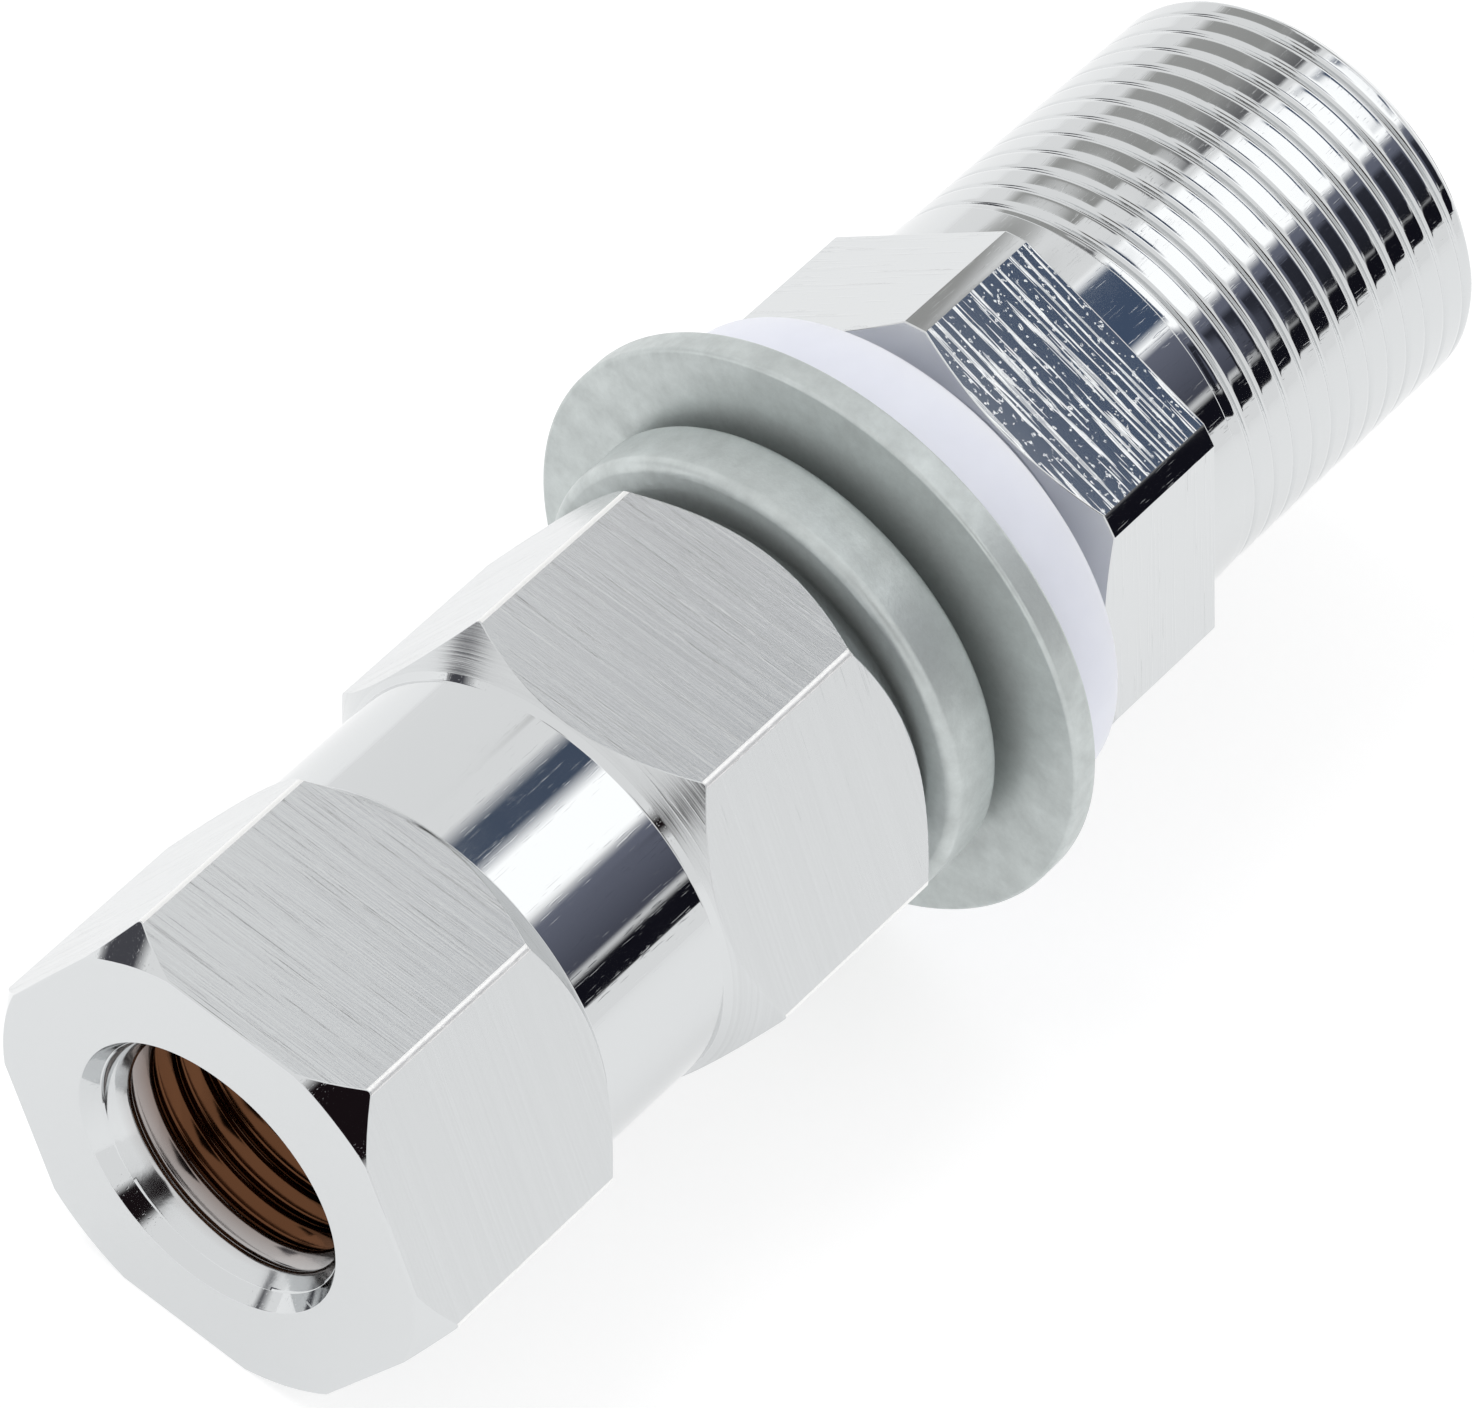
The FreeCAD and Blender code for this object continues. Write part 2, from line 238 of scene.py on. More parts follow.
class StageSizes(bpy.types.PropertyGroup):
    """Camera, lamps and floor"""
    camera: bpy.props.FloatVectorProperty(
        name="Camera place", description="Where the camera stands", size=3, subtype="XYZ", unit="LENGTH",
        default=(-0.212704, -0.10459, 0.258393))
    heading: angle("Camera heading", 63.6431, "Direction of view, from +Y towards +X")
    pitch: angle("Camera pitch", 46.5099, "How far the camera looks down")
    roll: angle("Camera roll", -15.9706, "Turn of the camera about its line of sight")
    lens: share("Lens", 258.2856, "Focal length in millimetres on a 36 mm wide sensor")
    sky: share("Sky light", 0.80, "Even light from all round")
    table: share("Table light", 0.63, "Glow of the light table")
    table_colour: colour("Table", "BCBCBC", "What the light table throws back")
    lamp: share("Lamp", 0.75, "Soft lamp above, watts")
    lamp_width: length("Lamp width", 350.0, "Diameter of that lamp")


SIZE_GROUPS = {
    "adapter_coupler": CouplerSizes,
    "adapter_washers": WasherSizes,
    "adapter_body": BodySizes,
    "adapter_inner": InnerSizes,
    "adapter_threads": ThreadSizes,
    "adapter_finishes": Finishes,
    "adapter_stage": StageSizes,
}


def sizes(group):
    return getattr(bpy.context.scene, "adapter_" + group)


def stations():
    """Places along the axis, from the antenna end's face, as a namespace."""
    coupler, washers, body, inner = sizes("coupler"), sizes("washers"), sizes("body"), sizes("inner")
    place = type("Stations", (), {})
    place.neck_start = coupler.front_hex
    place.neck_end = place.neck_start + coupler.neck
    place.coupler_end = place.neck_end + coupler.back_hex
    place.lock_start = place.coupler_end + washers.seat_gap
    place.flat_start = place.lock_start + washers.lock_thickness + washers.lock_rise + washers.seat_gap
    place.nylon_start = place.flat_start + washers.flat_thickness
    place.shoulder_start = place.nylon_start + washers.nylon_thickness
    place.body_start = place.shoulder_start + washers.shoulder_height
    place.barrel_start = place.body_start + body.hex_length
    place.collar_end = place.barrel_start + body.collar_length
    place.body_end = place.barrel_start + body.barrel
    place.stud_tip = place.coupler_end - inner.stud_reach
    place.inner_step = place.body_start + body.front_wall
    place.head_start = place.inner_step + inner.bush_floor
    place.head_end = place.head_start + inner.head_length
    place.socket_floor = place.body_end - inner.socket_depth
    place.contact_tip = place.body_end - inner.tip_below_rim
    return place


def mount(name):
    return next(m for m in frame["record"]["mounts"] if m["name"] == name)


def axis_frame():
    """Matrix from the adapter's own axis frame to the world, from the frame's mounts."""
    along = Vector(mount("coax_thread")["axis"]).normalized()
    side = Vector((0, 1, 0))
    up = along.cross(side)
    origin = Vector(mount("bracket_clamp")["pos_m"]) - along * stations().body_start
    matrix = Matrix((along, side, up)).transposed().to_4x4()
    matrix.translation = origin
    return matrix


# Meshes of turned and milled pieces

Corner = namedtuple("Corner", "x r radius flat finish", defaults=(0.0, 0.0, 0))
Column = namedtuple("Column", "angle limit facing cut wall on_flat", defaults=(False, None, False))


def profile(*corners):
    """Corners of a section, each from its x, its r and whatever else a Corner holds."""
    return [Corner(*corner) for corner in corners]


def round_columns(steps=ROUND_COLUMNS):
    return [round_column(FULL_TURN * index / steps) for index in range(steps)]


def hexagon_columns(apothem, radius, turn=0.0):
    """Columns round a hexagon with rounded corners: direction, distance and facing of its outline."""
    sector = FULL_TURN / HEX_SIDES
    centre = (apothem - radius) / math.cos(sector / 2)
    reach = math.atan2((apothem - radius) * math.tan(sector / 2), apothem)
    columns = []
    for side in range(HEX_SIDES):
        facing = turn + (side + 0.5) * sector
        for step in range(FLAT_COLUMNS):
            offset = reach * (2 * step / FLAT_COLUMNS - 1)
            columns.append(Column(facing + offset, apothem / math.cos(offset), facing, on_flat=True))
        for step in range(CORNER_COLUMNS):
            lean = sector * (step / CORNER_COLUMNS - 0.5)
            across = radius * math.sin(lean)
            out = centre + radius * math.cos(lean)
            corner = facing + sector / 2
            columns.append(Column(corner + math.atan2(across, out), math.hypot(across, out), corner + lean))
    return columns


def land_columns(apothem, bar, turn, sides=HEX_SIDES, flat_steps=FLAT_COLUMNS, land_steps=LAND_COLUMNS):
    """Columns round a bar with flats milled on it: flats, and round lands between them."""
    sector = FULL_TURN / sides
    reach = math.acos(apothem / bar)
    columns = []
    for side in range(sides):
        facing = turn + (side + 0.5) * sector
        for step in range(flat_steps + 1):
            offset = reach * (2 * step / flat_steps - 1)
            limit = apothem / math.cos(offset)
            columns.append(Column(facing + offset, limit, facing, on_flat=step < flat_steps))
        for step in range(land_steps + 1):
            place = facing + reach + (sector - 2 * reach) * step / land_steps
            columns.append(Column(place, bar, place))
    return columns


def land_column(place, apothem, bar, turn):
    """The column of such a bar in one direction."""
    sector = FULL_TURN / HEX_SIDES
    away = (place - turn) % sector - sector / 2
    if abs(away) < math.acos(apothem / bar):
        return Column(place, apothem / math.cos(away), place - away, on_flat=True)
    return Column(place, bar, place)


def round_column(place):
    return Column(place, math.inf, place)


def slotted(columns, slots, width, low, high, outline):
    """The columns with so many slots of parallel walls cut in, between the radii low and high.

    outline(angle) gives the piece's own column in any direction.
    """
    half = width / 2
    widest, narrowest = math.asin(half / low), math.asin(half / high)
    # Columns within this share of a wall would crowd it, and are left out.
    near = 0.02
    kept = []
    for column in columns:
        away = abs((column.angle * slots / FULL_TURN + 0.5) % 1 - 0.5) * FULL_TURN / slots
        if away > widest * (1 + near):
            kept.append(column)
        elif away < narrowest * (1 - near):
            kept.append(column._replace(cut=True))
    for index in range(slots):
        centre = FULL_TURN * index / slots
        for side in (-1, 1):
            outer = outline(centre + side * narrowest)
            for cut in (False, True):
                kept.append(outer._replace(angle=centre, cut=cut, wall=(half, low, high, side)))

    def order(column):
        if column.wall is None:
            return (column.angle % FULL_TURN, 0)
        # The two columns of a wall stand together, the cut one towards the slot.
        side = column.wall[-1]
        return ((column.angle + side * widest) % FULL_TURN, side * (1 if column.cut else 2))

    return sorted(kept, key=order)


def column_angle(column, r):
    if column.wall is None:
        return column.angle
    half, low, high, side = column.wall
    return column.angle + side * math.asin(half / min(max(r, low), high))


def rounded(corners, steps=ARC_STEPS):
    """Closed outline with an arc in each corner: rows of x, r, the normal's x and r, flatness and finish."""
    rows = []
    for index, corner in enumerate(corners):
        before = corners[index - 1]
        after = corners[(index + 1) % len(corners)]
        arriving = math.atan2(corner.r - before.r, corner.x - before.x)
        leaving = math.atan2(after.r - corner.r, after.x - corner.x)
        turn = (leaving - arriving + math.pi) % FULL_TURN - math.pi
        half_tangent = math.tan(abs(turn) / 2)
        room = 0.45 * min(math.hypot(corner.x - before.x, corner.r - before.r),
                          math.hypot(after.x - corner.x, after.r - corner.r))
        tangent = min(corner.radius * half_tangent, room)
        radius = tangent / half_tangent if half_tangent > 1e-6 else 0.0
        bend = 1 if turn > 0 else -1
        start_x = corner.x - math.cos(arriving) * tangent
        start_r = corner.r - math.sin(arriving) * tangent
        centre_x = start_x - bend * radius * math.sin(arriving)
        centre_r = start_r + bend * radius * math.cos(arriving)
        for step in range(steps + 1):
            part = step / steps
            heading = arriving + turn * part
            out_x = math.sin(heading)
            out_r = -math.cos(heading)
            flat = before.flat + (corner.flat - before.flat) * part
            rows.append((centre_x + bend * radius * out_x, centre_r + bend * radius * out_r,
                         out_x, out_r, flat, corner.finish))
    return rows


def close_loops(points, normals):
    """Faces of a grid of points that is closed both ways, with a normal for each of their corners."""
    columns, rows = points.shape[:2]
    grid = np.arange(columns * rows).reshape(columns, rows)
    across = np.roll(grid, -1, axis=0)
    faces = np.stack([grid, np.roll(grid, -1, axis=1), np.roll(across, -1, axis=1), across], axis=-1)
    return faces.reshape(-1, 4), points.reshape(-1, 3), normals.reshape(-1, 3)


def mesh_piece(name, faces, points, normals, finish_of_face, finishes):
    """Object of merged points, with exact normals on curved faces and creases where a face turns away."""
    merge_distance, least_area, crease = 1e-7, 1e-16, 0.8
    keys, merged = np.unique(np.round(points / merge_distance).astype(np.int64), axis=0, return_inverse=True)
    merged = merged.reshape(-1)
    verts = np.zeros((len(keys), 3))
    verts[merged] = points
    polygons, loop_normals, kept_finishes = [], [], []
    for face, finish in zip(faces, finish_of_face):
        loop = []
        for corner in face:
            if not loop or (merged[corner] != merged[loop[-1]] and merged[corner] != merged[loop[0]]):
                loop.append(corner)
        if len(loop) < 3:
            continue
        polygon = [int(merged[corner]) for corner in loop]
        if len(set(polygon)) < len(polygon):
            continue
        flat = np.zeros(3)
        for first, second in zip(polygon, polygon[1:] + polygon[:1]):
            flat += np.cross(verts[first], verts[second])
        size = np.linalg.norm(flat)
        if size < least_area:
            continue
        flat /= size
        wanted = [normals[corner] for corner in loop]
        if sum(float(np.dot(normal, flat)) for normal in wanted) < 0:
            flat = -flat
            polygon.reverse()
            wanted.reverse()
        polygons.append(polygon)
        kept_finishes.append(finish)
        loop_normals += [tuple(normal if np.dot(normal, flat) > crease else flat) for normal in wanted]
    mesh = bpy.data.meshes.new(name)
    mesh.from_pydata(verts.tolist(), [], polygons)
    for finish in finishes:
        mesh.materials.append(material_of(finish))
    mesh.polygons.foreach_set("material_index", kept_finishes)
    mesh.polygons.foreach_set("use_smooth", [True] * len(polygons))
    mesh.update()
    mesh.normals_split_custom_set(loop_normals)
    piece = bpy.data.objects.new(name, mesh)
    bpy.context.scene.collection.objects.link(piece)
    return piece


def in_world(points, normals):
    """Points and normals from the adapter's axis frame to the world."""
    matrix = np.array(axis_frame())
    return points @ matrix[:3, :3].T + matrix[:3, 3], normals @ matrix[:3, :3].T


def turned_piece(name, columns, section, *finishes):
    """Piece whose section, from section(column), goes round the axis through the columns."""
    points, normals, finish_of_face = [], [], []
    for column in columns:
        rows = rounded(section(column))
        line, line_normals = [], []
        for x, r, out_x, out_r, flat, finish in rows:
            turn = column_angle(column, r)
            facing = turn + (column.facing - turn) * flat if flat else turn
            line.append((x, r * math.cos(turn), r * math.sin(turn)))
            line_normals.append((out_x, out_r * math.cos(facing), out_r * math.sin(facing)))
            finish_of_face.append(finish)
        points.append(line)
        normals.append(line_normals)
    points, normals = in_world(np.array(points), np.array(normals))
    faces, points, normals = close_loops(points, normals)
    return mesh_piece(name, faces, points, normals, finish_of_face, finishes)


# Nodes

def set_inputs(tree, node, given):
    """Gives a node's inputs their values or links."""
    for socket, value in given.items():
        if isinstance(value, bpy.types.NodeSocket):
            tree.links.new(value, node.inputs[socket])
        else:
            node.inputs[socket].default_value = value


def add(tree, kind, given=None, **settings):
    """Adds a node with its settings, and gives its inputs values or links."""
    node = tree.nodes.new(kind)
    for key, value in settings.items():
        setattr(node, key, value)
    set_inputs(tree, node, given or {})
    return node


def math_node(tree, operation, *values):
    return add(tree, "ShaderNodeMath", dict(enumerate(values)), operation=operation).outputs[0]


# Threads

THREAD_INPUTS = {
    "Float": ("Crest radius", "Depth", "Pitch", "Start", "End", "Backing radius", "Phase", "Side",
              "Crest width", "Lean", "Run in", "Start radius", "Start slope", "End radius", "End slope",
              "Stations"),
    "Int": ("Columns", "Rows"),
    "Material": ("Material",),
}


def thread_tree():
    """Geometry nodes for a closed sleeve with a right-handed helical thread on one side."""
    tree = bpy.data.node_groups.new("helical_thread", "GeometryNodeTree")
    tree.interface.new_socket("Geometry", in_out="OUTPUT", socket_type="NodeSocketGeometry")
    for kind, names in THREAD_INPUTS.items():
        for name in names:
            tree.interface.new_socket(name, in_out="INPUT", socket_type="NodeSocket" + kind)
    given = add(tree, "NodeGroupInput").outputs
    side, pitch, start, end = given["Side"], given["Pitch"], given["Start"], given["End"]
    run = partial(math_node, tree)
    plus, minus, times, over, least = (
        partial(run, operation) for operation in ("ADD", "SUBTRACT", "MULTIPLY", "DIVIDE", "MINIMUM"))

    grid = add(tree, "GeometryNodeMeshGrid",
               {"Size X": 1.0, "Size Y": 1.0, "Vertices X": given["Columns"], "Vertices Y": given["Rows"]})
    place = add(tree, "ShaderNodeSeparateXYZ", {0: add(tree, "GeometryNodeInputPosition").outputs[0]}).outputs
    turn = plus(place["X"], 0.5)
    last = minus(given["Rows"], 1.0)
    row = run("ROUND", times(plus(place["Y"], 0.5), last))
    # Rows follow the helix, so that every turn is cut by the same stations.
    first_turn = minus(minus(run("FLOOR", over(start, pitch)), 1.0), given["Phase"])
    turns = plus(first_turn, over(minus(row, 1.0), given["Stations"]))
    held = run("MAXIMUM", least(times(plus(turns, turn), pitch), end), start)
    closing = run("GREATER_THAN", row, minus(last, 0.5))
    along = plus(held, times(closing, minus(start, held)))
    # The groove is 1 deep at its bottom and dies out towards the crest, the later the narrower the crest.
    cycle = plus(minus(over(along, pitch), turn), given["Phase"])
    from_groove = run("PINGPONG", times(cycle, 2.0), 1.0)
    groove = run("POWER", minus(1.0, from_groove), given["Crest width"])
    from_start, from_end = minus(along, start), minus(end, along)
    ramp = least(over(from_start, given["Run in"]), 1.0)
    cut = times(times(given["Depth"], ramp), groove)
    # The ridges lean a little, as a slightly skewed die leaves them.
    across_ridge = minus(0.5, run("FRACT", cycle))
    lean = times(times(given["Lean"], pitch), times(across_ridge, ramp))
    crest = minus(times(side, given["Crest radius"]), plus(cut, lean))
    start_limit = plus(times(side, given["Start radius"]), times(from_start, given["Start slope"]))
    end_limit = plus(times(side, given["End radius"]), times(from_end, given["End slope"]))
    surface = times(side, least(crest, least(start_limit, end_limit)))
    behind = least(plus(run("LESS_THAN", row, 0.5), run("GREATER_THAN", row, minus(last, 1.5))), 1.0)
    radius = plus(surface, times(behind, minus(given["Backing radius"], surface)))
    bearing = times(turn, FULL_TURN)
    spot = add(tree, "ShaderNodeCombineXYZ", {
        0: along, 1: times(radius, run("COSINE", bearing)), 2: times(radius, run("SINE", bearing))})
    shape = grid
    for kind, more in (
            ("SetPosition", {"Position": spot.outputs[0]}),
            ("MergeByDistance", {"Distance": 1e-7}),
            ("SetShadeSmooth", {}),
            ("RealizeInstances", {}),
            ("SetMaterial", {"Material": given["Material"]})):
        shape = add(tree, "GeometryNode" + kind, {"Geometry": shape.outputs[0], **more})
    add(tree, "NodeGroupOutput", {0: shape.outputs[0]})
    return tree


def threaded_sleeve(name, finish, columns, stations_a_turn, **values):
    """Plain closed mesh from the thread tree, in its place on the axis. The values are the tree's inputs."""
    pitch = sizes("threads").pitch
    turns = math.ceil((values["end"] - values["start"]) / pitch) + 3
    given = {
        "pitch": pitch, "phase": 0.0, "side": 1.0, "lean": 0.0, "run_in": HAIR, "start_slope": 1.0,
        "end_slope": 1.0, "stations": float(stations_a_turn), "columns": columns + 1,
        "rows": turns * stations_a_turn + 4, "material": material_of(finish), **values}
    tree = bpy.data.node_groups.get("helical_thread") or thread_tree()
    piece = bpy.data.objects.new(name, bpy.data.meshes.new(name))
    bpy.context.scene.collection.objects.link(piece)
    modifier = piece.modifiers.new("Thread", "NODES")
    modifier.node_group = tree
    for item in tree.interface.items_tree:
        if item.in_out == "INPUT":
            modifier[item.identifier] = given[item.name.lower().replace(" ", "_")]
    bpy.context.view_layer.update()
    plain = bpy.data.meshes.new_from_object(piece.evaluated_get(bpy.context.evaluated_depsgraph_get()))
    piece.modifiers.remove(modifier)
    piece.data = plain
    plain.transform(axis_frame())
    form = bmesh.new()
    form.from_mesh(plain)
    bmesh.ops.dissolve_degenerate(form, dist=1e-8, edges=form.edges)
    bmesh.ops.recalc_face_normals(form, faces=form.faces)
    form.to_mesh(plain)
    form.free()
    return piece


# Finishes. Each is a function named for its material, and gives the values and links of the shader's sockets.

def axis_coordinates(tree):
    """Object coordinates turned into the adapter's axis frame, in metres."""
    matrix = axis_frame()
    source = add(tree, "ShaderNodeTexCoord").outputs["Object"]
    return add(tree, "ShaderNodeMapping", {
        "Vector": source, "Location": matrix.translation, "Rotation": matrix.to_euler()},
        vector_type="TEXTURE").outputs[0]


def pattern(tree, along, across=None, detail=2.0, rough=0.5):
    """Noise whose grain is so many millimetres along the axis and across it, or the same both ways."""
    across = across or along
    scale = [1 / (size * MM) for size in (along, across, across)]
    stretched = add(tree, "ShaderNodeMapping", {"Vector": axis_coordinates(tree), "Scale": scale})
    return add(tree, "ShaderNodeTexNoise", {
        "Vector": stretched.outputs[0], "Scale": 1.0, "Detail": detail, "Roughness": rough}).outputs["Fac"]


def between(tree, value, start, end, low=0.0, high=1.0):
    """Value mapped from start..end to low..high, held at both ends."""
    return add(tree, "ShaderNodeMapRange", {
        "Value": value, "From Min": start, "From Max": end, "To Min": low, "To Max": high}).outputs[0]


def relief(tree, height, depth, below=None):
    """Bump of a height map whose full swing is depth millimetres, on top of another bump if one is given."""
    links = {"Height": height, "Distance": depth * MM, "Strength": 1.0}
    if below is not None:
        links["Normal"] = below
    return add(tree, "ShaderNodeBump", links).outputs[0]


def tinted(tree, value, colour_a, colour_b):
    # The mix node has sockets of several types under one name, so its colours are set by place.
    return add(tree, "ShaderNodeMix", {0: value, 6: colour_a, 7: colour_b}, data_type="RGBA").outputs[2]


def shade(tint, factor):
    return [channel * factor for channel in tint[:3]] + [1.0]


def polished_chrome_plate(tree):
    """Bright chrome over turned and buffed brass: sharp reflections, fine handling scratches."""
    scratches = between(tree, pattern(tree, 0.9, 0.06, detail=1.0), 0.64, 0.74)
    return {
        "Metallic": 1.0,
        "Base Color": sizes("finishes").chrome,
        "Roughness": between(tree, pattern(tree, 3.0, detail=4.0), 0.35, 0.7, 0.03, 0.075),
        "Normal": relief(tree, scratches, 0.0006)}


def linished_chrome_plate(tree):
    """Chrome over bar linished across its flats: fine lines square to the axis, soft reflections."""
    chrome = sizes("finishes").chrome
    lines = pattern(tree, 0.065, 16.0, rough=0.6)
    marks = between(tree, pattern(tree, 0.07, 5.0), 0.60, 0.72)
    return {
        "Metallic": 1.0,
        "Base Color": tinted(tree, between(tree, lines, 0.35, 0.68), shade(chrome, 0.94), chrome),
        "Roughness": between(tree, lines, 0.3, 0.7, 0.16, 0.24),
        "Normal": relief(tree, marks, 0.004, relief(tree, lines, 0.004))}


def nicked_chrome_painted_highlight(tree):
    """The hexagon's corners: a brighter colour than the flats, which is a painted highlight along each
    corner, over real handling nicks and a rougher finish.
    """
    nicks = between(tree, pattern(tree, 0.5, 0.12), 0.56, 0.66)
    return {
        "Metallic": 1.0,
        "Base Color": sizes("finishes").corner_highlight,
        "Roughness": 0.45,
        "Normal": relief(tree, nicks, 0.004)}


def milled_chrome_plate(tree):
    """Chrome over milled flats: mirror bright between cutter marks square to the axis, with fine pits."""
    cutter = between(tree, pattern(tree, 0.19, 6.0, rough=0.6), 0.54, 0.63)
    pits = between(tree, pattern(tree, 0.16, 0.22), 0.64, 0.76)
    return {
        "Metallic": 1.0,
        "Base Color": sizes("finishes").chrome,
        "Roughness": between(tree, cutter, 0.0, 1.0, 0.07, 0.18),
        "Normal": relief(tree, pits, 0.003, relief(tree, cutter, 0.007))}


def thin_plate_brass_and_painted_shade(tree):
    """Chrome that thins out in the tapped hole: plated at the mouth, then a dark brown farther in, partly
    warm brass showing through and partly painted shade deepening into the hole.
    """
    finishes = sizes("finishes")
    depth = add(tree, "ShaderNodeSeparateXYZ", {0: axis_coordinates(tree)}).outputs["X"]
    return {
        "Metallic": 1.0,
        # Chrome at the mouth turns dark brown with depth: brass showing through, and painted shade of the
        # hole.
        "Base Color": tinted(tree, between(tree, depth, 1.0 * MM, 2.6 * MM), finishes.chrome, finishes.brass_tone_and_painted_shade),
        "Roughness": between(tree, pattern(tree, 1.2, detail=3.0), 0.3, 0.7, 0.08, 0.2),
        "Normal": relief(tree, pattern(tree, 0.3), 0.002)}


def clear_zinc_plate(tree):
    """Clear zinc plate on stamped steel: dull, mottled and slightly green, with a fine grain."""
    zinc = sizes("finishes").zinc
    mottle = pattern(tree, 1.1, detail=6.0, rough=0.7)
    return {
        "Metallic": 0.65,
        "Base Color": tinted(tree, between(tree, mottle, 0.35, 0.66), shade(zinc, 0.84), zinc),
        "Roughness": between(tree, mottle, 0.3, 0.7, 0.48, 0.34),
        "Normal": relief(tree, pattern(tree, 0.13, detail=3.0), 0.006, relief(tree, mottle, 0.02))}


def moulded_nylon(tree):
    """Natural moulded nylon: cool white, satin, a little light passes into it."""
    nylon = sizes("finishes").nylon
    cloudy = pattern(tree, 2.5, detail=3.0)
    return {
        "Base Color": tinted(tree, between(tree, cloudy, 0.3, 0.7), shade(nylon, 0.95), nylon),
        "IOR": 1.53,
        "Subsurface Weight": 0.6,
        "Subsurface Radius": (1.0, 1.0, 1.0),
        "Subsurface Scale": 2.0 * MM,
        "Roughness": between(tree, cloudy, 0.0, 1.0, 0.38, 0.5),
        "Normal": relief(tree, pattern(tree, 0.3, detail=3.0), 0.004)}


def turned_ptfe(tree):
    """Turned white PTFE: waxy and matt, with faint tool rings."""
    ptfe = sizes("finishes").ptfe
    return {
        "Base Color": tinted(tree, pattern(tree, 1.5, detail=3.0), shade(ptfe, 0.94), ptfe),
        "IOR": 1.35,
        "Roughness": 0.5,
        "Normal": relief(tree, pattern(tree, 0.12, 3.0), 0.004)}


def turned_brass(tree):
    """Turned brass, satin: fine tool rings and a warm yellow."""
    brass = sizes("finishes").brass
    rings = pattern(tree, 0.08, 3.0)
    return {
        "Metallic": 1.0,
        "Base Color": tinted(tree, rings, shade(brass, 0.85), brass),
        "Roughness": between(tree, rings, 0.0, 1.0, 0.2, 0.32),
        "Normal": relief(tree, rings, 0.004)}


def material_of(finish):
    """The material of a finish, made once and named after it."""
    material = bpy.data.materials.get(finish.__name__)
    if material is None:
        material = bpy.data.materials.new(finish.__name__)
        material.use_nodes = True
        tree = material.node_tree
        set_inputs(tree, tree.nodes["Principled BSDF"], finish(tree))
    return material


def finish_piece(piece, body, slot, *nodes):
    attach(piece, body)
    if nodes:
        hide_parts(*nodes)


class AdapterOperator:
    """What the steps share: each one's own make() does its work."""
    bl_options = {"REGISTER", "UNDO"}

    def execute(self, context):
        self.make()
        return {"FINISHED"}


class ADAPTER_OT_coupler(AdapterOperator, bpy.types.Operator):
    """Builds the hexagonal coupler with its neck and its two tapped holes"""
    bl_idname = "adapter.coupler"
    bl_label = "Coupler"

    def make(self):
        size, at, threads = sizes("coupler"), stations(), sizes("threads")
        edge = size.edge_round
        hole, drill, mouth = size.hole / 2, size.drill / 2, size.countersink / 2
        cone = math.tan(size.countersink_slope)
        cone_end = (mouth - hole) * cone
        stud_end = at.coupler_end - size.stud_reach
        neck = size.neck_diameter / 2
        neck_face = neck + size.neck_root
        back_face = size.back_face / 2
        # Material slots: the linished flats, and the corners' chrome with its painted highlight.
        linished, highlit_corner = 1, 2

        def section(column):
            flat = column.limit
            # Corner columns take the brighter chrome: a painted highlight along the hexagon's corners.
            side = linished if column.on_flat else highlit_corner
            front_face = min(size.front_face / 2, flat - edge / 2)
            front_run = (flat - front_face) * math.tan(size.front_chamfer)
            neck_run = (flat - neck_face) * math.tan(size.neck_chamfer)
            back_run = (flat - back_face) * math.tan(size.back_chamfer)
            return profile(
                (0.0, mouth, edge / 2), (cone_end, hole),
                (size.antenna_depth, hole), (size.antenna_depth, drill),
                (stud_end, drill), (stud_end, hole),
                (at.coupler_end, hole, edge), (at.coupler_end, back_face, edge),
                (at.coupler_end - back_run, flat, edge, 1.0, side),
                (at.neck_end + neck_run, flat, edge, 0.0, linished),
                (at.neck_end, neck_face, edge), (at.neck_end - size.neck_root, neck, edge),
                (at.neck_start + size.neck_root, neck, edge),
                (at.neck_start, neck_face, edge, 0.0, linished),
                (at.neck_start - neck_run, flat, edge, 1.0, side),
                (front_run, flat, edge), (0.0, front_face, edge))

        columns = hexagon_columns(size.across_flats / 2, size.corner_round)
        piece = turned_piece("plated_coupler", columns, section,
                             polished_chrome_plate, linished_chrome_plate, nicked_chrome_painted_highlight)
        finish_piece(piece, "coupler", "chrome_plate", "coupler")
        crest = threads.stud_crest / 2 - threads.stud_depth + threads.play
        common = {
            "crest_radius": crest, "depth": threads.stud_depth, "crest_width": threads.stud_crest_width,
            "backing_radius": hole + 10 * HAIR, "side": -1.0}
        inside = threaded_sleeve(
            "antenna_thread", thin_plate_brass_and_painted_shade, THREAD_COLUMNS, threads.stud_stations,
            start=cone_end, start_radius=hole - HAIR, start_slope=1 / cone,
            end=size.antenna_depth, end_radius=crest, phase=threads.antenna_phase, **common)
        finish_piece(inside, "coupler", "chrome_plate")
        for_stud = threaded_sleeve(
            "coupler_stud_thread", thin_plate_brass_and_painted_shade, STUD_THREAD_COLUMNS, threads.stud_stations,
            start=stud_end, start_radius=crest, end=at.coupler_end - 2 * HAIR, end_radius=hole - 5 * HAIR,
            phase=threads.inner_phase, **common)
        finish_piece(for_stud, "coupler", "chrome_plate")


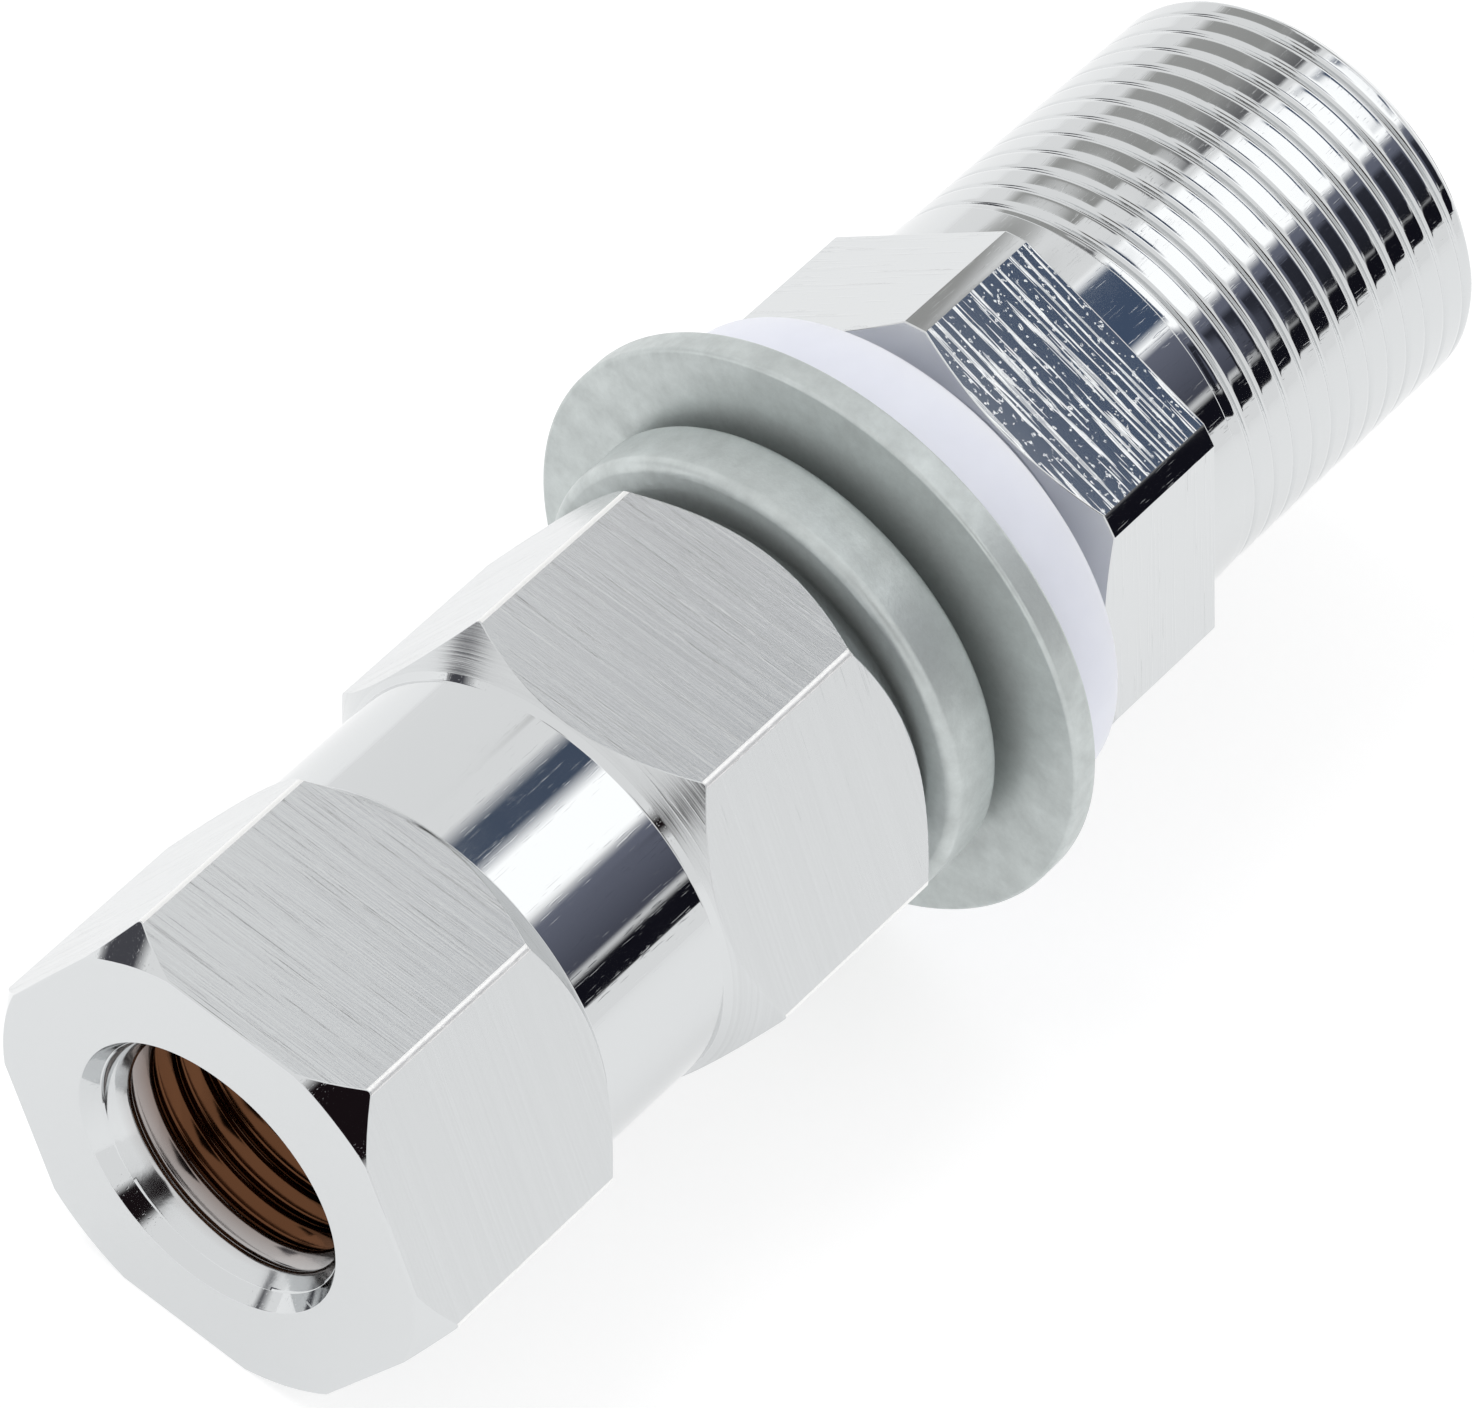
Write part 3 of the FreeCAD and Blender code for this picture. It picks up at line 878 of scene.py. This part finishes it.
class ADAPTER_OT_spring_washer(AdapterOperator, bpy.types.Operator):
    """Builds the split spring washer as one left-handed turn"""
    bl_idname = "adapter.spring_washer"
    bl_label = "Spring washer"

    def make(self):
        size, at = sizes("washers"), stations()
        inner, outer, half = size.lock_inner / 2, size.lock_outer / 2, size.lock_thickness / 2
        section = rounded(profile(
            (-half, inner, size.lock_bore_round), (half, inner, size.lock_bore_round),
            (half, outer, size.lock_round), (-half, outer, size.lock_round)), WASHER_ARC_STEPS)
        # The missing part of the turn, and the middle of the split
        gap = size.lock_split / outer
        split_middle = size.lock_bearing + gap / 2
        wall = size.lock_split / 2 / math.cos(size.lock_slant)
        points, normals = [], []
        for step in range(ROUND_COLUMNS + 1):
            part = step / ROUND_COLUMNS
            nominal = split_middle - gap / 2 - (FULL_TURN - gap) * part
            climb = size.lock_rise * (size.lock_bearing - nominal) / FULL_TURN
            for x, r, out_x, out_r, flat, finish in section:
                slant = (climb + x - size.lock_rise / 2) * math.tan(size.lock_slant)
                lower = split_middle + math.asin((-wall - slant) / r)
                upper = split_middle + math.asin((wall - slant) / r) - FULL_TURN
                turn = lower + (upper - lower) * part
                across, up = math.cos(turn), math.sin(turn)
                points.append((at.lock_start + half + climb + x, r * across, r * up))
                normals.append((out_x, out_r * across, out_r * up))
        points, normals = in_world(np.array(points), np.array(normals))
        rows = len(section)
        faces = []
        for here in range(0, ROUND_COLUMNS * rows, rows):
            for row in range(rows):
                after = (row + 1) % rows
                faces.append((here + row, here + after, here + rows + after, here + rows + row))
        for start, inwards in ((0, rows), (ROUND_COLUMNS * rows, -rows)):
            ring = points[start:start + rows]
            facing = np.cross(ring[rows // 4] - ring[0], ring[rows // 2] - ring[0])
            if np.dot(facing, points[start + inwards] - ring[0]) > 0:
                facing = -facing
            facing /= np.linalg.norm(facing)
            faces.append(tuple(range(len(points), len(points) + rows)))
            points = np.vstack([points, ring])
            normals = np.vstack([normals, np.repeat(facing[None], rows, axis=0)])
        piece = mesh_piece("spring_washer", faces, points, normals, [0] * len(faces), [clear_zinc_plate])
        finish_piece(piece, "washers", "zinc_plate", "lock_washer")


class ADAPTER_OT_plain_washers(AdapterOperator, bpy.types.Operator):
    """Builds the flat washer and the insulating shoulder washer"""
    bl_idname = "adapter.plain_washers"
    bl_label = "Flat and insulating washers"

    def make(self):
        size, at = sizes("washers"), stations()
        flat_bore, flat_rim = size.flat_inner / 2, size.flat_outer / 2
        bore, shoulder, rim = size.nylon_bore / 2, size.shoulder / 2, size.nylon_outer / 2
        stamped, moulded = size.flat_round, size.nylon_round

        def flat_section(column):
            return profile(
                (at.flat_start, flat_bore, stamped / 2), (at.nylon_start, flat_bore, stamped / 2),
                (at.nylon_start, flat_rim, stamped), (at.flat_start, flat_rim, stamped))

        def nylon_section(column):
            return profile(
                (at.nylon_start, bore, moulded / 2), (at.body_start, bore, moulded / 2),
                (at.body_start, shoulder, moulded / 2), (at.shoulder_start, shoulder, moulded / 2),
                (at.shoulder_start, rim, moulded), (at.nylon_start, rim, moulded))

        flat = turned_piece("stamped_washer", round_columns(), flat_section, clear_zinc_plate)
        finish_piece(flat, "washers", "zinc_plate", "flat_washer")
        nylon = turned_piece("shoulder_washer", round_columns(), nylon_section, moulded_nylon)
        finish_piece(nylon, "washers", "nylon", "nylon_washer")


class ADAPTER_OT_socket_body(AdapterOperator, bpy.types.Operator):
    """Builds the socket body with its milled flats, collar, outer thread and keyed socket"""
    bl_idname = "adapter.socket_body"
    bl_label = "Socket body"

    def make(self):
        size, at, threads = sizes("body"), stations(), sizes("threads")
        edge = size.edge_round
        hole, socket, notch = size.front_hole / 2, size.socket / 2, size.notch_diameter / 2
        core, collar, face = size.core / 2, size.collar_diameter / 2, size.face / 2
        notch_floor = at.body_end - size.notch_depth
        milled = 1

        def section(column):
            flat = column.limit
            chamfer = size.mouth_chamfer
            rim = (
                ((notch_floor, socket), (notch_floor, notch), (at.body_end, notch)) if column.cut else
                ((notch_floor, socket), (at.body_end - chamfer, socket), (at.body_end, socket + chamfer)))
            return profile(
                (at.body_start, hole, edge), (at.inner_step, hole), (at.inner_step, socket), *rim,
                (at.body_end, core), (at.collar_end, core),
                (at.collar_end, collar, edge), (at.barrel_start, collar, edge / 2),
                (at.barrel_start, flat, edge, 1.0, milled if column.on_flat else 0),
                (at.body_start + (flat - face) * math.tan(size.chamfer), flat, edge),
                (at.body_start, face, edge))

        outline = (size.across_flats / 2, size.bar / 2, size.hex_turn)
        columns = slotted(land_columns(*outline), size.notches, size.notch_width, socket, notch,
                          lambda place: land_column(place, *outline))
        piece = turned_piece("socket_body", columns, section, polished_chrome_plate, milled_chrome_plate)
        finish_piece(piece, "connector", "chrome_plate", "connector_body")
        crest = threads.coax_crest / 2
        sleeve = threaded_sleeve(
            "coax_thread", polished_chrome_plate, THREAD_COLUMNS, threads.coax_stations,
            crest_radius=crest, depth=threads.coax_depth, crest_width=threads.coax_crest_width,
            backing_radius=core - 5 * HAIR, start=at.collar_end - 5 * HAIR, start_radius=crest,
            end=at.body_end - 3 * HAIR, end_radius=core + 2 * HAIR, phase=threads.coax_phase,
            lean=threads.lean, run_in=threads.pitch / 2)
        finish_piece(sleeve, "connector", "chrome_plate")


class ADAPTER_OT_stud(AdapterOperator, bpy.types.Operator):
    """Builds the hot stud with its thread and keyed head"""
    bl_idname = "adapter.stud"
    bl_label = "Stud"

    def make(self):
        size, at, threads = sizes("inner"), stations(), sizes("threads")
        crest = threads.stud_crest / 2
        core = crest - threads.stud_depth - 3 * HAIR
        shank, tail, tip = size.shank / 2, size.tail / 2, size.stud_round
        tail_end = at.head_end + size.tail_length

        def section(column):
            head = column.limit
            return profile(
                (at.stud_tip, 0.0), (tail_end, 0.0), (tail_end, tail, tip / 2), (at.head_end, tail),
                (at.head_end, head, tip / 2), (at.head_start, head, tip / 2),
                (at.head_start, shank), (at.body_start, shank, tip / 2),
                (at.body_start, core), (at.stud_tip, core, tip))

        columns = land_columns(size.head_flats / 2, size.head / 2, 0.0, sides=2, flat_steps=12, land_steps=24)
        piece = turned_piece("hot_stud", columns, section, polished_chrome_plate)
        finish_piece(piece, "connector", "chrome_plate", "stud")
        sleeve = threaded_sleeve(
            "stud_thread", polished_chrome_plate, STUD_THREAD_COLUMNS, threads.stud_stations,
            crest_radius=crest, depth=threads.stud_depth, crest_width=threads.stud_crest_width,
            backing_radius=core - 10 * HAIR, start=at.stud_tip, start_radius=core - 5 * HAIR,
            end=at.body_start + 5 * HAIR, end_radius=crest)
        finish_piece(sleeve, "connector", "chrome_plate")


class ADAPTER_OT_insulators(AdapterOperator, bpy.types.Operator):
    """Builds the keyed bush round the stud and the disc in the socket"""
    bl_idname = "adapter.insulators"
    bl_label = "Insulators"

    def make(self):
        size, at, body = sizes("inner"), stations(), sizes("body")
        gap, edge = size.clearance, size.insulator_round
        hole, socket, shank = body.front_hole / 2 - gap, body.socket / 2 - gap, size.shank / 2 + gap
        flange, contact, boss = size.flange / 2 + gap, size.contact / 2 + gap, size.boss / 2
        flange_end = at.head_end + size.flange_length
        boss_end = at.socket_floor + size.boss_height

        def bush_section(column):
            return profile(
                (at.body_start, shank, edge), (at.head_start, shank),
                (at.head_start, column.limit), (at.head_end, column.limit),
                (at.head_end, socket, edge), (at.inner_step, socket, edge),
                (at.inner_step, hole), (at.body_start, hole, edge))

        def disc_section(column):
            return profile(
                (at.head_end, flange), (flange_end, flange),
                (flange_end, contact), (boss_end, contact, edge / 2),
                (boss_end, boss, edge), (at.socket_floor, boss, edge),
                (at.socket_floor, socket, edge), (at.head_end, socket, edge))

        pocket = land_columns(
            size.head_flats / 2 + gap, size.head / 2 + gap, 0.0, sides=2, flat_steps=12, land_steps=36)
        bush = turned_piece("stud_bush", pocket, bush_section, turned_ptfe)
        finish_piece(bush, "connector", "ptfe", "front_insulator")
        disc = turned_piece("socket_disc", round_columns(SMALL_COLUMNS), disc_section, turned_ptfe)
        finish_piece(disc, "connector", "ptfe", "rear_insulator")


class ADAPTER_OT_contact(AdapterOperator, bpy.types.Operator):
    """Builds the centre contact with its sprung fingers"""
    bl_idname = "adapter.contact"
    bl_label = "Centre contact"

    def make(self):
        size, at = sizes("inner"), stations()
        outer, pin, flange = size.contact / 2, size.pin / 2, size.flange / 2
        tail = size.tail / 2 + size.clearance
        flange_end = at.head_end + size.flange_length
        tail_end = at.head_end + size.tail_length + size.clearance
        hole_floor = at.contact_tip - size.pin_depth
        slot_floor = at.contact_tip - size.slot_length
        edge, chamfer = size.contact_round, size.tip_chamfer

        def section(column):
            end = at.contact_tip
            fingers = (
                ((slot_floor, pin), (slot_floor, outer), (slot_floor, outer)) if column.cut else
                ((end, pin, edge), (end, outer - chamfer, edge), (end - chamfer, outer, edge)))
            return profile(
                (hole_floor, 0.0), (hole_floor, pin), (slot_floor, pin), *fingers, (slot_floor - edge, outer),
                (flange_end, outer), (flange_end, flange, edge), (at.head_end, flange, edge),
                (at.head_end, tail), (tail_end, tail), (tail_end, 0.0))

        columns = round_columns(SMALL_COLUMNS)
        columns = slotted(columns, size.fingers, size.slot_width, pin, outer, round_column)
        piece = turned_piece("socket_contact", columns, section, turned_brass)
        finish_piece(piece, "connector", "brass", "centre_contact")


# Stage

Card = namedtuple("Card", "name along bearing elevation distance width height roll low high fades strength",
                  defaults=(1.0,))

# Cards that only reflections see, as a photographer sets flags and reflectors round polished metal. Each
# faces a point on the axis: that point in mm, world bearing and elevation, distance and size in mm, roll,
# colour at its lower and upper edge, the share of its size over which its sides, its lower and its upper edge
# fade, and its strength.
CARDS = (
    Card("black_side_flag", 27, -61, 15.5, 400, 250, 98, 0, "16161E", "16161E", (0.03, 0.02, 0.25)),
    Card("slate_side_flag", 27, -61, 36.6, 420, 270, 227, 0, "4A4C58", "787C8C", (0.06, 0.1, 0.14)),
    Card("thread_side_flag", 27, -53.8, 31.9, 415, 34, 180, -11.5, "202128", "343640", (0.12, 0.05, 0.12)),
    Card("navy_collar_flag", 42.6, -12, 59.7, 400, 262, 40, 15, "4A5A74", "4A5A74", (0.13, 0.12, 0.1)),
    Card("navy_neck_flag", 13.2, 17, 63.6, 300, 136, 30, -20, "4C586C", "4C586C", (0.3, 0.1, 0.1)),
    Card("thread_top_flag", 52, 44.8, 52.8, 243, 18, 86, 33.8, "B4B4B2", "5E5E62", (0.2, 0.12, 0.1)),
    Card("bright_top_panel", 13.2, -16, 62, 450, 350, 320, 8, "FFFFFF", "FFFFFF", (0.08, 0.04, 0.08), 1.5),
    Card("camera_flag", 1, -142, 30, 400, 230, 220, 0, "1C1518", "1C1518", (0.12, 0.12, 0.12)),
    Card("window_low_flag", 1, 113, 7, 400, 150, 150, 0, "505056", "505056", (0.2, 0.2, 0.2)),
    Card("window_high_flag", 51, 56, 30.5, 401, 44, 278, 11, "B4B4B2", "A6A6A4", (0.2, 0.16, 0.06)),
    Card("far_end_flag", 20, 22, 30, 400, 210, 130, 0, "4A4846", "4A4846", (0.2, 0.2, 0.2)),
    Card("high_back_flag", 20, 98, 68, 400, 170, 110, 0, "6C6A68", "6C6A68", (0.2, 0.2, 0.2)),
)

LAMP_PLACE = (-0.15, 0.25, 0.5)
FLOOR_REACH = 1.5
SENSOR_WIDTH = 36.0


def bare_tree(owner):
    """The emptied node tree of a material or a world."""
    owner.use_nodes = True
    owner.node_tree.nodes.clear()
    return owner.node_tree


def direction_of(bearing, elevation):
    """Unit vector in a world bearing, from +X towards +Y, and at an elevation."""
    level = math.cos(elevation)
    return Vector((level * math.cos(bearing), level * math.sin(bearing), math.sin(elevation)))


def stage_sheet(name, corners, material):
    """Four-cornered sheet of the stage, whose UV map runs from its first corner to its third."""
    mesh = bpy.data.meshes.new(name)
    mesh.from_pydata(corners, [], [(0, 1, 2, 3)])
    for loop, corner in zip(mesh.uv_layers.new(name="UVMap").data, ((0, 0), (1, 0), (1, 1), (0, 1))):
        loop.uv = corner
    mesh.materials.append(material)
    sheet = bpy.data.objects.new(name, mesh)
    bpy.context.scene.collection.objects.link(sheet)
    return sheet


def card_material(card):
    """Glowing card with soft edges, which fade into what is behind it."""
    material = bpy.data.materials.new("card_" + card.name)
    tree = bare_tree(material)
    place = add(tree, "ShaderNodeSeparateXYZ", {0: add(tree, "ShaderNodeTexCoord").outputs["UV"]}).outputs
    sides, lower, upper = card.fades
    cover = between(tree, place["X"], 0.0, sides)
    for step in (between(tree, place["X"], 1.0 - sides, 1.0, 1.0, 0.0),
                 between(tree, place["Y"], 0.0, lower),
                 between(tree, place["Y"], 1.0 - upper, 1.0, 1.0, 0.0)):
        cover = math_node(tree, "MULTIPLY", cover, step)
    shades = tinted(tree, place["Y"], linear(card.low), linear(card.high))
    glow = add(tree, "ShaderNodeEmission", {"Color": shades, "Strength": card.strength})
    clear = add(tree, "ShaderNodeBsdfTransparent")
    mixed = add(tree, "ShaderNodeMixShader", {0: cover, 1: clear.outputs[0], 2: glow.outputs[0]})
    add(tree, "ShaderNodeOutputMaterial", {0: mixed.outputs[0]})
    return material


def make_card(card):
    bearing = math.radians(card.bearing)
    direction = direction_of(bearing, math.radians(card.elevation))
    centre = axis_frame() @ Vector((card.along * MM, 0, 0)) + direction * card.distance * MM
    across = Vector((-math.sin(bearing), math.cos(bearing), 0))
    up = direction.cross(across)
    spin = Matrix.Rotation(math.radians(card.roll), 3, direction)
    across, up = spin @ across * card.width / 2 * MM, spin @ up * card.height / 2 * MM
    corners = [centre - across - up, centre + across - up, centre + across + up, centre - across + up]
    sheet = stage_sheet(card.name, corners, card_material(card))
    for ray in ("camera", "diffuse", "transmission", "volume_scatter", "shadow"):
        setattr(sheet, "visible_" + ray, False)


def make_floor():
    """White light table: it glows evenly, so the object's shadow on it stays faint and soft."""
    stage = sizes("stage")
    material = bpy.data.materials.new("lit_opal_acrylic")
    tree = bare_tree(material)
    sheet = add(tree, "ShaderNodeBsdfDiffuse", {"Color": stage.table_colour})
    glow = add(tree, "ShaderNodeEmission", {"Color": linear("FFFFFF"), "Strength": stage.table})
    both = add(tree, "ShaderNodeAddShader", {0: sheet.outputs[0], 1: glow.outputs[0]})
    add(tree, "ShaderNodeOutputMaterial", {0: both.outputs[0]})
    corners = [(x * FLOOR_REACH, y * FLOOR_REACH, 0) for x, y in ((-1, -1), (1, -1), (1, 1), (-1, 1))]
    stage_sheet("floor", corners, material)


def make_world():
    """Even light from all round, which the camera, mirrors and clear plastics see as white."""
    world = bpy.data.worlds.new("studio")
    bpy.context.scene.world = world
    tree = bare_tree(world)
    path = add(tree, "ShaderNodeLightPath").outputs
    seen = math_node(tree, "MAXIMUM", path["Is Camera Ray"],
                     math_node(tree, "MAXIMUM", path["Is Glossy Ray"], path["Is Transmission Ray"]))
    sky = sizes("stage").sky
    strength = math_node(tree, "ADD", sky, math_node(tree, "MULTIPLY", seen, 1.0 - sky))
    background = add(tree, "ShaderNodeBackground", {"Color": linear("FFFFFF"), "Strength": strength})
    add(tree, "ShaderNodeOutputWorld", {0: background.outputs[0]})


def make_camera():
    stage = sizes("stage")
    forward = direction_of(math.pi / 2 - stage.heading, -stage.pitch)
    level = forward.cross(Vector((0, 0, 1))).normalized()
    spin = Matrix.Rotation(stage.roll, 3, forward)
    axes = Matrix((spin @ level, spin @ level.cross(forward), -forward)).transposed().to_4x4()
    axes.translation = Vector(stage.camera)
    camera = bpy.data.objects.new("camera", bpy.data.cameras.new("camera"))
    camera.data.sensor_fit = "HORIZONTAL"
    camera.data.sensor_width = SENSOR_WIDTH
    camera.data.lens = stage.lens
    camera.data.clip_start = 10 * MM
    camera.matrix_world = axes
    bpy.context.scene.collection.objects.link(camera)
    bpy.context.scene.camera = camera


def make_lamp():
    stage = sizes("stage")
    lamp = bpy.data.objects.new("top_lamp", bpy.data.lights.new("top_lamp", "AREA"))
    lamp.data.shape = "DISK"
    lamp.data.size = stage.lamp_width
    lamp.data.energy = stage.lamp
    lamp.location = LAMP_PLACE
    lamp.rotation_euler = (-Vector(LAMP_PLACE)).to_track_quat("-Z", "Y").to_euler()
    lamp.visible_glossy = False
    bpy.context.scene.collection.objects.link(lamp)


class ADAPTER_OT_stage(AdapterOperator, bpy.types.Operator):
    """Sets up floor, light, reflection cards and the camera"""
    bl_idname = "adapter.stage"
    bl_label = "Stage"

    def make(self):
        bpy.context.scene.view_settings.view_transform = "Standard"
        make_world()
        make_floor()
        make_lamp()
        for card in CARDS:
            make_card(card)
        make_camera()


OPERATORS = (ADAPTER_OT_coupler, ADAPTER_OT_spring_washer, ADAPTER_OT_plain_washers, ADAPTER_OT_socket_body,
             ADAPTER_OT_stud, ADAPTER_OT_insulators, ADAPTER_OT_contact, ADAPTER_OT_stage)


class ADAPTER_PT_panel(bpy.types.Panel):
    """Sizes and steps of the adapter"""
    bl_idname = "ADAPTER_PT_panel"
    bl_label = "Antenna mount adapter"
    bl_space_type = "VIEW_3D"
    bl_region_type = "UI"
    bl_category = "Adapter"

    def draw(self, context):
        for operator in OPERATORS:
            self.layout.operator(operator.bl_idname)
        for key in SIZE_GROUPS:
            group = getattr(context.scene, key)
            box = self.layout.box()
            box.label(text=group.__doc__)
            for name in group.__annotations__:
                box.prop(group, name)


def register():
    for group in SIZE_GROUPS.values():
        bpy.utils.register_class(group)
    for key, group in SIZE_GROUPS.items():
        setattr(bpy.types.Scene, key, bpy.props.PointerProperty(type=group))
    for operator in OPERATORS:
        bpy.utils.register_class(operator)
    bpy.utils.register_class(ADAPTER_PT_panel)


def unregister():
    bpy.utils.unregister_class(ADAPTER_PT_panel)
    for operator in reversed(OPERATORS):
        bpy.utils.unregister_class(operator)
    for key, group in SIZE_GROUPS.items():
        delattr(bpy.types.Scene, key)
        bpy.utils.unregister_class(group)


def main():
    register()
    bpy.ops.adapter.stage()
    bpy.ops.adapter.coupler()
    bpy.ops.adapter.spring_washer()
    bpy.ops.adapter.plain_washers()
    bpy.ops.adapter.socket_body()
    bpy.ops.adapter.stud()
    bpy.ops.adapter.insulators()
    bpy.ops.adapter.contact()


if __name__ == "__main__":
    main()
